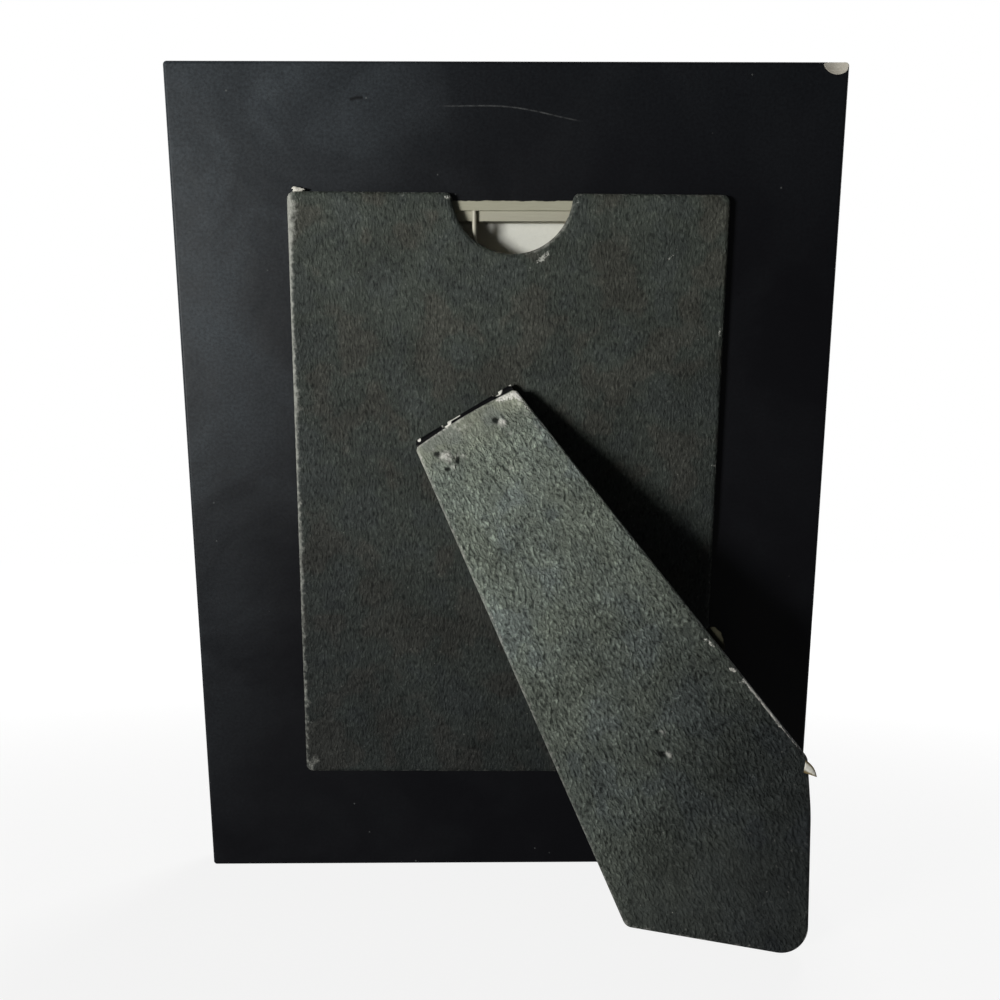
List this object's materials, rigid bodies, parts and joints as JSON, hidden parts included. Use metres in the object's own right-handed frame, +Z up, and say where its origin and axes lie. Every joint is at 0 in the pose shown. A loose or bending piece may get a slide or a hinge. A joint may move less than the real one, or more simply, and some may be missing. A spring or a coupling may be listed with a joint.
{
  "type": "easel back photo frame",
  "caption": "Rectangular table-top photo frame that stands on a splayed, hinged easel leg, with a lift-out wrapped back panel that has a thumb notch.",
  "frame": {"origin": "on the table, under the middle of the standing frame's footprint", "axes": "+Z up, front (picture side) towards -Y and leaned back, +X to the right seen from the front"},
  "size_m": [0.1778, 0.0842, 0.2259],
  "materials": {
    "lacquered_rail": "black satin lacquer",
    "raw_wood": "bare",
    "steel": "bright wire",
    "dark_steel": "blackened",
    "glass": "clear",
    "print_paper": "blank",
    "filler_card": "plain",
    "chipboard": "grey-brown pulp board",
    "grain_paper": "leather-grain embossed paper",
    "lining_paper": "matt black",
    "ribbon": "woven black ribbon"
  },
  "bodies": {
    "frame": {"rail_top": "lacquered_rail", "rail_bottom": "lacquered_rail", "rail_left": "lacquered_rail", "rail_right": "lacquered_rail", "corner_nails": "steel", "glass_pane": "glass", "photo_print": "print_paper", "filler_board": "filler_card", "stop_strips": "raw_wood", "glazing_brads": "steel"},
    "back_panel": {"panel_board": "chipboard", "panel_plug": "chipboard", "panel_cover": "grain_paper", "hinge_panel_leaf": "dark_steel", "hinge_pin": "steel", "panel_rivets": "dark_steel", "panel_staple": "steel", "stay_ribbon": "ribbon"},
    "easel_leg": {"leg_board": "chipboard", "leg_cover": "grain_paper", "leg_lining": "lining_paper", "hinge_leg_leaf": "dark_steel", "leg_rivets": "dark_steel", "leg_staple": "steel"}
  },
  "joints": [
    {"name": "panel_lift_out", "type": "slide", "parent": "frame", "child": "back_panel", "axis": [0, 0.9711, -0.2385], "range_m": [0, 0.03]},
    {"name": "leg_hinge", "type": "hinge", "parent": "back_panel", "child": "easel_leg", "pos_m": [0.0111, 0.01244, 0.1314], "axis": [-0.8599, 0.1218, 0.4958], "range_deg": [0, 21], "deforming": ["stay_ribbon"]}
  ]
}
